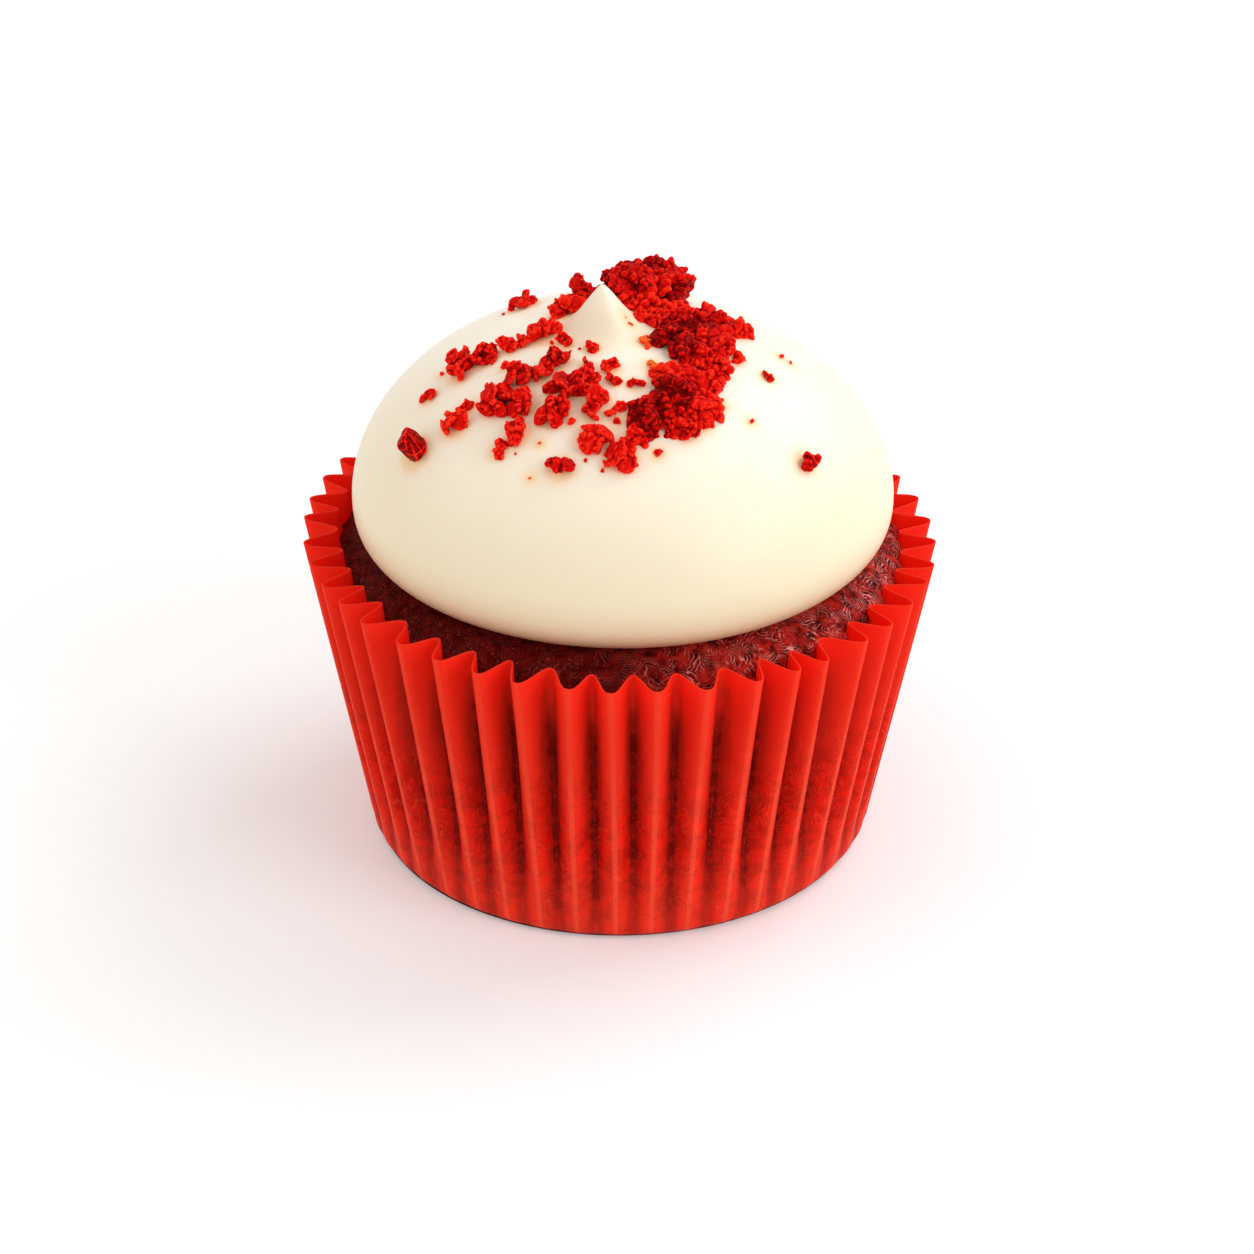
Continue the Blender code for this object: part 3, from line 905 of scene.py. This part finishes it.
# Chunks of each clump, by the node that it stands for: x, y and radius in millimetres, how far the middle
# stands off the icing in radii, and tone
CHUNKS = {
    "crumb_clump_back": (
        (1.4, 5.6, 1.9, 1.6, 0.35),
        (3.3, 9.0, 1.6, 2.1, 0.20),
        (5.3, 8.2, 1.6, 1.8, 0.35),
        (0.2, 8.0, 1.3, 2.0, 0.15),
        (3.2, 5.6, 1.3, 1.8, 0.50),
        (-0.7, 5.2, 1.0, 1.7, 0.18),
        (5.4, 7.4, 1.4, 0.9, 0.25),
        (4.0, 7.2, 1.6, 0.5, 0.18),
        (2.0, 8.0, 1.8, 0.5, 0.20),
        (0.3, 5.5, 1.0, 0.6, 0.30),
        (1.0, 3.6, 1.0, 0.6, 0.50),
        (2.3, 3.6, 1.1, 0.5, 0.60),
        (3.6, 2.9, 1.1, 0.5, 0.60),
        (5.2, 3.6, 1.0, 0.5, 0.60),
    ),
    "crumb_clump_right": (
        (4.8, -3.2, 1.4, 0.7, 0.15),
        (6.2, -5.2, 1.3, 0.7, 0.18),
        (6.4, 0.0, 1.4, 0.8, 0.40),
        (8.5, 2.6, 1.1, 0.8, 0.50),
        (9.7, 0.8, 1.3, 0.7, 0.35),
        (11.6, 1.6, 1.1, 0.7, 0.55),
        (9.0, -4.0, 1.9, 0.7, 0.45),
        (7.4, -2.0, 1.5, 0.8, 0.18),
        (5.6, -1.6, 1.3, 0.5, 0.20),
        (7.4, -4.6, 1.3, 0.5, 0.35),
        (9.6, -6.6, 1.2, 0.5, 0.50),
        (7.8, -6.6, 1.1, 0.5, 0.50),
        (11.4, -3.6, 0.7, 0.5, 0.55),
        (2.6, 1.0, 0.9, 0.4, 0.55),
        (4.2, 0.2, 1.1, 0.5, 0.50),
    ),
    "crumb_clump_front": (
        (5.4, -12.0, 1.8, 0.8, 0.15),
        (4.6, -9.4, 1.2, 0.6, 0.60),
        (6.2, -10.8, 1.3, 0.4, 0.30),
        (4.2, -13.6, 1.4, 0.4, 0.25),
        (6.6, -9.2, 1.2, 0.5, 0.45),
        (8.2, -9.8, 1.3, 0.5, 0.50),
        (3.0, -15.0, 1.6, 0.7, 0.20),
        (1.4, -16.6, 0.9, 0.5, 0.50),
        (7.8, -12.6, 1.3, 0.5, 0.55),
        (5.6, -14.8, 1.1, 0.5, 0.45),
        (2.6, -12.8, 0.8, 0.5, 0.55),
        (9.8, -11.2, 0.6, 0.5, 0.55),
    ),
}


def strewn_crumbs(crumb, icing, trails=TRAILS):
    """Place, half size and tone of each loose crumb on its trail, each moved a little by chance."""
    rows = np.array([(heading, *spot) for heading, *spots in trails for spot in spots])
    rng = np.random.default_rng(crumb.seed)
    turn = np.radians(rows[:, 0] + rng.uniform(-1, 1, len(rows)))
    distance = (rows[:, 1] + rng.uniform(-0.15, 0.15, len(rows))) * MM
    x, y, half = around(distance, turn, rows[:, 2] * MM / 2).T
    x = x + icing.peak_place
    return np.column_stack([x, y, icing_height(icing, x, y), half, rng.uniform(0.3, 0.6, len(rows))])


def clump_chunks(node, icing):
    """Place, radius and tone of each chunk of a clump."""
    x, y, radius, lift, tone = np.array(CHUNKS[node]).T * np.array((MM, MM, MM, 1, 1))[:, None]
    return np.column_stack([x, y, icing_height(icing, x, y) + lift * radius, radius, tone])


def nugget_body(icing):
    """Place, half size and tone of the faceted nugget."""
    x, y, half = around(NUGGET_DISTANCE, NUGGET_TURN, NUGGET_HALF)
    x = x + icing.peak_place
    return np.array((x, y, icing_height(icing, x, y), half, NUGGET_TONE))


def crumb_bodies(crumb, icing):
    """Place, radius and tone of every crumb, chip and chunk, and of the nugget."""
    strewn = [strewn_crumbs(crumb, icing, trails) for trails in (TRAILS, CHIPS)]
    clumps = [clump_chunks(node, icing) for node in CHUNKS]
    return np.concatenate([*strewn, nugget_body(icing)[None], *clumps])


def surface_axes(icing, x, y):
    """A matrix whose columns are two tangents and the normal of the icing over (x, y)."""
    step = 0.2 * MM
    slope_x = (icing_height(icing, x + step, y) - icing_height(icing, x - step, y)) / (2 * step)
    slope_y = (icing_height(icing, x, y + step) - icing_height(icing, x, y - step)) / (2 * step)
    normal = Vector((-slope_x, -slope_y, 1)).normalized()
    side = Vector((1, 0, slope_x)).normalized()
    return np.array([side, normal.cross(side), normal]).T


def axes_along(ways):
    """For each direction, a matrix whose columns are two directions square to it, and itself."""
    helper = np.where(np.abs(ways[:, 2:]) < 0.9, (0.0, 0.0, 1.0), (1.0, 0.0, 0.0))
    side = np.cross(helper, ways)
    side /= np.linalg.norm(side, axis=1, keepdims=True)
    return np.stack([side, np.cross(ways, side), ways], axis=-1)


def random_ways(rng, count, low=-1.0, high=1.0):
    """Random directions whose height over the horizon lies between two sines."""
    height = rng.uniform(low, high, count)
    turn = rng.uniform(0, 2 * np.pi, count)
    return around(np.sqrt(1 - height**2), turn, height)


def bud(rng, host, shape, count, sizes, spread):
    """Nubs that bud side by side round the rim of a stone, whose matrix of scaled axes is shape, each
    drawn out along its way. Middles and axes."""
    height = rng.uniform(-spread, spread, count)
    turn = 2 * np.pi * (np.arange(count) + rng.uniform(0.0, 0.8, count)) / count
    ways = around(np.sqrt(1 - height**2), turn, height) @ shape.T
    centres = host + ways * rng.uniform(0.88, 1.0, count)[:, None]
    ways /= np.linalg.norm(ways, axis=1, keepdims=True)
    return centres, axes_along(ways) * (rng.uniform(*sizes, count)[:, None, None] * (1.0, 1.0, 1.1))


def scallop(rng, centres, shapes, nub, spacing, spread):
    """Stones with a row of nubs round each, about a spacing apart and spread to both sides of its rim.
    Middles, axes, and how crisp each stone is."""
    all_centres = [centres]
    all_shapes = [shapes]
    for centre, shape in zip(centres, shapes):
        reach = np.linalg.norm(shape, axis=0).max()
        sizes = np.minimum(nub, 0.8 * reach)
        count = 4 + int(2 * np.pi * reach / spacing)
        nub_centres, nub_shapes = bud(rng, centre, shape, count, sizes, spread)
        all_centres.append(nub_centres)
        all_shapes.append(nub_shapes)
    crispness = np.full(sum(len(part) for part in all_centres), float(ROUND))
    crispness[:len(centres)] = CRISP
    return np.concatenate(all_centres), np.concatenate(all_shapes), crispness


def grow_crumb(rng, size, nub=NUB, spacing=NUB_SPACING, spread=NUB_SPREAD):
    """The stones of one crumb in its own frame, lying on z = 0: one to six flat lobes round its middle,
    each tilted its own way, with scalloped edges."""
    count = int(np.clip(size / LOBE_SIZE, 1, MOST_LOBES))
    radii = 0.5 * size * rng.uniform(0.50, 0.68, count) / count**0.1
    turn = rng.uniform(0, 2 * np.pi) + 2 * np.pi * (np.arange(count) + rng.uniform(0, 0.5, count)) / count
    away = LOBE_REACH * size * (count > 1) * np.where((np.arange(count) == 0) & (count > 2), 0.2, 1.0)
    centres = around(away, turn, radii * rng.uniform(0.5, 1.0, count))
    centres[0, 2] += 0.2 * size * (count > 2)
    flat = np.array([(1.0, 1.0, thickness) for thickness in rng.uniform(0.45, 0.75, count)])
    shapes = axes_along(random_ways(rng, count, 0.2, 1.0)) * (radii[:, None] * flat)[:, None, :]
    centres, shapes, crispness = scallop(rng, centres, shapes, nub, spacing, spread)
    centres[:, 2] = np.maximum(centres[:, 2], 0.1 * MM)
    return centres, shapes, crispness


def grow_on_icing(rng, icing, body, thickness=1.0):
    """The stones of a loose crumb in its place on the icing, pressed to a share of its height."""
    frame_axes = surface_axes(icing, body[0], body[1])
    centres, shapes, crispness = grow_crumb(rng, 2 * body[3])
    pressed = np.array((1.0, 1.0, thickness))
    centres = body[:3] + (centres * pressed) @ frame_axes.T
    return centres, frame_axes @ (shapes * pressed[:, None]), crispness


def grow_chunk(rng, chunk, frame_axes):
    """The stones of one chunk of a clump: a large crumb with its middle at the chunk's."""
    size = CHUNK_BREADTH * chunk[3]
    centres, shapes, crispness = grow_crumb(rng, size, CHUNK_NUB, CHUNK_NUB_SPACING, CHUNK_NUB_SPREAD)
    return chunk[:3] + (centres - (0, 0, 0.35 * size)) @ frame_axes.T, frame_axes @ shapes, crispness


def joined(grown):
    """Middles, axes and crispness of the stones of several crumbs, one crumb after another."""
    return [np.concatenate(parts) for parts in zip(*grown)]


def stones(name, centres, axes, crispness, seed, facets=None):
    """Many faceted stones in one mesh, one for each middle and matrix of scaled axes. Each is a grid of
    latitudes and longitudes at radius r, 1 / r = (sum of (max(n . way, 0) / h)^m)^(1/m) over facets with
    directions n and distances h: a large m leaves crisp edges between the facets."""
    rng = np.random.default_rng(seed)
    up = np.linspace(-np.pi / 2, np.pi / 2, STONE_ROWS + 2)[1:-1, None]
    turn = np.linspace(0, 2 * np.pi, STONE_COLUMNS, endpoint=False)[None, :]
    ball = around(np.cos(up), turn, np.sin(up)).reshape(-1, 3)
    ball = np.concatenate([ball, [(0, 0, -1), (0, 0, 1)]])
    if facets is None:
        facets = random_ways(rng, len(centres) * STONE_FACETS).reshape(-1, STONE_FACETS, 3)
    distances = rng.uniform(0.72, 1.0, (*facets.shape[:2], 1))
    facing = np.maximum(np.einsum("nfi,wi->nfw", facets, ball), 0.0) / distances
    power = crispness[:, None]
    radius = 1 / np.maximum((facing ** power[..., None]).sum(axis=1) ** (1 / power), 0.75)
    points = centres[:, None] + np.einsum("nij,nwj->nwi", axes, radius[..., None] * ball)
    count = len(ball)
    shift = (np.arange(len(centres)) * count)[:, None, None]
    quads = (grid_faces(STONE_ROWS, STONE_COLUMNS)[None] + shift).reshape(-1, 4)
    caps = (cap_faces(STONE_ROWS, STONE_COLUMNS, count - 2, count - 1)[None] + shift).reshape(-1, 3)
    return build_mesh(name, points.reshape(-1, 3), quads, caps)


def fuse(mesh, grain):
    """One closed skin round overlapping stones."""
    holder = bpy.data.objects.new(mesh.name, mesh)
    bpy.context.scene.collection.objects.link(holder)
    skin = holder.modifiers.new("Skin", "REMESH")
    skin.mode = "VOXEL"
    skin.voxel_size = grain
    fused = bpy.data.meshes.new_from_object(holder.evaluated_get(bpy.context.evaluated_depsgraph_get()))
    name = mesh.name
    bpy.data.objects.remove(holder)
    bpy.data.meshes.remove(mesh)
    fused.name = name
    return fused


def read_mesh(mesh):
    """Points, their normals, and the two ends of each edge."""
    points = np.empty(len(mesh.vertices) * 3, np.float32)
    normals = np.empty_like(points)
    edges = np.empty(len(mesh.edges) * 2, np.int32)
    mesh.vertices.foreach_get("co", points)
    mesh.vertex_normals.foreach_get("vector", normals)
    mesh.edges.foreach_get("vertices", edges)
    return points.reshape(-1, 3), normals.reshape(-1, 3), edges.reshape(-1, 2)


def mean_over_edges(edges, at_first, at_second, count):
    """For each point, the mean of the numbers that its edges give it at their two ends."""
    ends = edges.T.ravel()
    totals = np.bincount(ends, np.concatenate([at_first, at_second]), count)
    return totals / np.maximum(np.bincount(ends, minlength=count), 1)


def bulge(points, normals, edges):
    """How sharply a surface turns outwards at each point: minus the mean slope of its edges against its
    normal, evened out once over the neighbours. Creases are below 0."""
    away = points[edges[:, 1]] - points[edges[:, 0]]
    away /= np.maximum(np.linalg.norm(away, axis=1, keepdims=True), 1e-9)
    first = -(away * normals[edges[:, 0]]).sum(axis=1)
    second = (away * normals[edges[:, 1]]).sum(axis=1)
    sharp = mean_over_edges(edges, first, second, len(points))
    near = mean_over_edges(edges, sharp[edges[:, 1]], sharp[edges[:, 0]], len(points))
    return (sharp + near) / 2


def finish_crumb(mesh, bodies, crumb, edge=CRUMB_EDGE_LIGHT):
    """Roughens a fused crumb mesh along its normals with fine lumps and pebbles, and marks each point
    with a tone: its nearest body's own, with painted highlight on edges and painted shade in creases."""
    points, normals, edges = read_mesh(mesh)
    rough = 0.5 * lumps(points, FINE_LUMP, crumb.seed) + 0.5 - pebbles(points, FINE_PEBBLE, crumb.seed + 5)
    points = points + normals * (FINE_RELIEF * rough)[:, None]
    mesh.vertices.foreach_set("co", points.astype(np.float32).ravel())
    mesh.update()
    mesh.shade_smooth()
    points, normals, edges = read_mesh(mesh)
    away = np.full(len(points), FAR)
    tone = np.zeros(len(points))
    for body in bodies:
        gap = np.linalg.norm(points - body[:3], axis=1) / body[3]
        tone = np.where(gap < away, body[4], tone)
        away = np.minimum(away, gap)
    # Painted highlight on edges and painted shade in creases, from how sharply the surface turns
    tone = np.clip(tone + edge * bulge(points, normals, edges), 0.0, 1.0)
    mark_points(mesh, "tone", tone)
    return mesh


class CUPCAKE_OT_loose_crumbs(bpy.types.Operator):
    """Scatter the loose crumbs over the icing"""

    bl_idname = "cupcake.loose_crumbs"
    bl_label = "Loose Crumbs"

    def execute(self, context):
        icing, crumb = context.scene.cupcake_icing, context.scene.cupcake_crumb
        rng = np.random.default_rng(crumb.seed + 1)
        bodies = strewn_crumbs(crumb, icing)
        grown = [grow_on_icing(rng, icing, body) for body in bodies]
        mesh = stones("loose_crumbs", *joined(grown), crumb.seed)
        mesh = finish_crumb(fuse(mesh, LOOSE_GRAIN * crumb.grain), bodies, crumb)
        place_piece(mesh, red_crumb(crumb), "crumb")
        return {"FINISHED"}


class CUPCAKE_OT_nugget(bpy.types.Operator):
    """Lay the single faceted nugget on the left of the dome"""

    bl_idname = "cupcake.nugget"
    bl_label = "Nugget"

    def execute(self, context):
        icing, crumb = context.scene.cupcake_icing, context.scene.cupcake_crumb
        body = nugget_body(icing)
        frame_axes = surface_axes(icing, body[0], body[1])
        lean = Vector(frame_axes[:, 2]).lerp(Vector((0, 0, 1)), NUGGET_UPRIGHT).normalized()
        shape = axes_along(np.array(lean)[None]) * body[3] * NUGGET_SHAPE
        centre = body[:3] + NUGGET_LIFT * body[3] * np.array(lean)
        rng = np.random.default_rng(crumb.seed + 3)
        facet = np.arange(2 * NUGGET_SIDES)
        turn = 2 * np.pi / NUGGET_SIDES * (facet % NUGGET_SIDES + rng.uniform(-0.3, 0.3, len(facet)))
        height = np.where(facet < NUGGET_SIDES, 1, -1) * rng.uniform(0.25, 0.65, len(facet))
        facets = around(np.sqrt(1 - height**2), turn, height)
        crispness = np.array([NUGGET_CRISP])
        mesh = stones("crumb_nugget", centre[None], shape, crispness, crumb.seed, facets[None])
        mesh = finish_crumb(fuse(mesh, SMALL_GRAIN * crumb.grain), body[None], crumb, NUGGET_EDGE_LIGHT)
        place_piece(mesh, red_crumb(crumb), "crumb")
        return {"FINISHED"}


class CUPCAKE_OT_chips(bpy.types.Operator):
    """Lay the thin bright chips by the peak"""

    bl_idname = "cupcake.chips"
    bl_label = "Chips"

    def execute(self, context):
        icing, crumb = context.scene.cupcake_icing, context.scene.cupcake_crumb
        bodies = strewn_crumbs(crumb, icing, CHIPS)
        grown = []
        for body in bodies:
            rng = np.random.default_rng(crumb.seed + 60)
            grown.append(grow_on_icing(rng, icing, body, CHIP_THICKNESS))
        mesh = stones("crumb_chips", *joined(grown), crumb.seed)
        mesh = finish_crumb(fuse(mesh, SMALL_GRAIN * crumb.grain), bodies, crumb)
        shaded = tuple(0.6 * c for c in crumb.chip)
        place_piece(mesh, crumb_finish(crumb, "thin_crumb", shaded, crumb.chip), "crumb")
        return {"FINISHED"}


class CUPCAKE_OT_specks(bpy.types.Operator):
    """Dust the icing with a few specks among the crumbs"""

    bl_idname = "cupcake.specks"
    bl_label = "Specks"

    def execute(self, context):
        icing, crumb = context.scene.cupcake_icing, context.scene.cupcake_crumb
        rng = np.random.default_rng(crumb.seed + 2)
        host = rng.choice(strewn_crumbs(crumb, icing), crumb.specks, replace=False)
        turn = rng.uniform(0, 2 * np.pi, crumb.specks)
        place = host[:, :2] + around(host[:, 3] + SPECK_GAP, turn, 0)[:, :2]
        sizes = rng.uniform(*SPECK_SIZES, crumb.specks) * MM
        height = icing_height(icing, *place.T) + 0.5 * sizes
        axes = axes_along(random_ways(rng, crumb.specks)) * sizes[:, None, None]
        crispness = np.full(crumb.specks, float(CRISP))
        mesh = stones("crumb_specks", np.column_stack([place, height]), axes, crispness, crumb.seed)
        mark_points(mesh, "tone", np.full(len(mesh.vertices), SPECK_TONE))
        place_piece(mesh, red_crumb(crumb), "crumb")
        return {"FINISHED"}


class CUPCAKE_OT_crumb_clumps(bpy.types.Operator):
    """Heap the three clumps of crumb beside the peak"""

    bl_idname = "cupcake.crumb_clumps"
    bl_label = "Crumb Clumps"

    def execute(self, context):
        icing, crumb = context.scene.cupcake_icing, context.scene.cupcake_crumb
        finish = red_crumb(crumb)
        for number, node in enumerate(CHUNKS):
            rng = np.random.default_rng(crumb.seed + 40 + number)
            chunks = clump_chunks(node, icing)
            grown = [grow_chunk(rng, chunk, surface_axes(icing, chunk[0], chunk[1])) for chunk in chunks]
            centres, shapes, crispness = joined(grown)
            ground = icing_height(icing, centres[:, 0], centres[:, 1]) + 0.1 * MM
            centres[:, 2] = np.maximum(centres[:, 2], ground)
            mesh = stones(node.replace("crumb_", ""), centres, shapes, crispness, crumb.seed + number)
            mesh = finish_crumb(fuse(mesh, crumb.grain), chunks, crumb)
            place_piece(mesh, finish, "crumb", node)
        return {"FINISHED"}


# Stage

WHITE = (1.0, 1.0, 1.0)
COOL_WHITE = (0.90, 0.96, 1.0)
WARM_WHITE = (1.0, 0.965, 0.90)
FLOOR_GLOW = 0.19
SENSOR_WIDTH = 36.0
NEAREST_VIEW = 0.01
LAMPS_FACE = Vector((0, 0, 30 * MM))

# Each soft light's name, place, side and tint
LAMPS = (
    ("key", (0.42, 0.28, 0.5), 0.45, COOL_WHITE),
    ("fill", (0.65, -0.45, 0.42), 0.5, COOL_WHITE),
    ("left", (-0.6, -0.1, 0.35), 0.5, WHITE),
)


def floor_finish(stage):
    """A plain pale floor, matt, with the faintest cloudiness and glow."""
    finish = Finish("pale_floor")
    cloudy = finish.noise(0.2, 2.0)
    tint = finish.blend(cloudy, stage.floor_tint, tuple(0.995 * c for c in stage.floor_tint))
    return finish.close(finish.principled({
        "Base Color": tint, "Roughness": 0.6, "Specular IOR Level": 0.2,
        "Emission Color": (*WHITE, 1.0), "Emission Strength": FLOOR_GLOW,
    }))


class CUPCAKE_OT_stage(bpy.types.Operator):
    """Set the pale floor, the soft studio light and the camera"""

    bl_idname = "cupcake.stage"
    bl_label = "Stage"

    def execute(self, context):
        stage = context.scene.cupcake_stage
        half = stage.floor_size / 2
        corners = np.array([(-half, -half, 0), (half, -half, 0), (half, half, 0), (-half, half, 0)])
        mesh = build_mesh("floor", corners, np.array([[0, 1, 2, 3]]), np.zeros((0, 3), int))
        floor = bpy.data.objects.new("floor", mesh)
        context.scene.collection.objects.link(floor)
        mesh.materials.append(floor_finish(stage))
        self.surround(context.scene, stage.sky)
        for name, place, side, tint in LAMPS:
            self.lamp(name, place, side, tint, getattr(stage, f"{name}_power"))
        self.camera(context.scene, stage)
        context.scene.view_settings.view_transform = "Standard"
        return {"FINISHED"}

    def surround(self, scene, strength):
        """An even, faintly warm surround."""
        world = bpy.data.worlds.new("surround")
        world.use_nodes = True
        background = world.node_tree.nodes["Background"]
        background.inputs["Color"].default_value = (*WARM_WHITE, 1.0)
        background.inputs["Strength"].default_value = strength
        scene.world = world

    def lamp(self, name, place, side, tint, energy):
        """A square soft light that faces the cupcake."""
        light = bpy.data.lights.new(name, "AREA")
        light.size = side
        light.energy = energy
        light.color = tint
        lamp = bpy.data.objects.new(name, light)
        lamp.location = place
        lamp.rotation_euler = (LAMPS_FACE - lamp.location).to_track_quat("-Z", "Y").to_euler()
        bpy.context.scene.collection.objects.link(lamp)

    def camera(self, scene, stage):
        """The camera, in front and above, aimed at one point."""
        data = bpy.data.cameras.new("camera")
        data.lens = stage.lens
        data.sensor_width = SENSOR_WIDTH
        data.clip_start = NEAREST_VIEW
        camera = bpy.data.objects.new("camera", data)
        back = Vector((0, -math.cos(stage.elevation), math.sin(stage.elevation)))
        camera.location = Vector(stage.aim) + back * stage.distance
        camera.rotation_euler = (math.pi / 2 - stage.elevation, 0, 0)
        scene.collection.objects.link(camera)
        scene.camera = camera


OPERATORS = (
    CUPCAKE_OT_paper_case,
    CUPCAKE_OT_sponge,
    CUPCAKE_OT_icing,
    CUPCAKE_OT_loose_crumbs,
    CUPCAKE_OT_nugget,
    CUPCAKE_OT_chips,
    CUPCAKE_OT_specks,
    CUPCAKE_OT_crumb_clumps,
    CUPCAKE_OT_stage,
)


class VIEW3D_PT_cupcake(bpy.types.Panel):
    """Every step of the cupcake, in order, and its settings"""

    bl_label = "Cupcake"
    bl_space_type = "VIEW_3D"
    bl_region_type = "UI"
    bl_category = "Cupcake"

    def draw(self, context):
        for operator in OPERATORS:
            self.layout.operator(operator.bl_idname)
        for name, group in SETTINGS.items():
            box = self.layout.box()
            box.label(text=group.__doc__)
            for key in group.__annotations__:
                box.prop(getattr(context.scene, name), key)


def register():
    """Adds the settings, the operators and the panel to Blender."""
    for group in SETTINGS.values():
        bpy.utils.register_class(group)
    for operator in OPERATORS:
        bpy.utils.register_class(operator)
    bpy.utils.register_class(VIEW3D_PT_cupcake)
    for name, group in SETTINGS.items():
        setattr(bpy.types.Scene, name, PointerProperty(type=group))


def unregister():
    """Takes them out again."""
    for name in SETTINGS:
        delattr(bpy.types.Scene, name)
    for added in (VIEW3D_PT_cupcake, *reversed(OPERATORS), *reversed(SETTINGS.values())):
        bpy.utils.unregister_class(added)


def main():
    """Registers the add-on and builds every piece in order."""
    register()
    for operator in OPERATORS:
        group, step = operator.bl_idname.split(".")
        getattr(getattr(bpy.ops, group), step)()


if __name__ == "__main__":
    main()
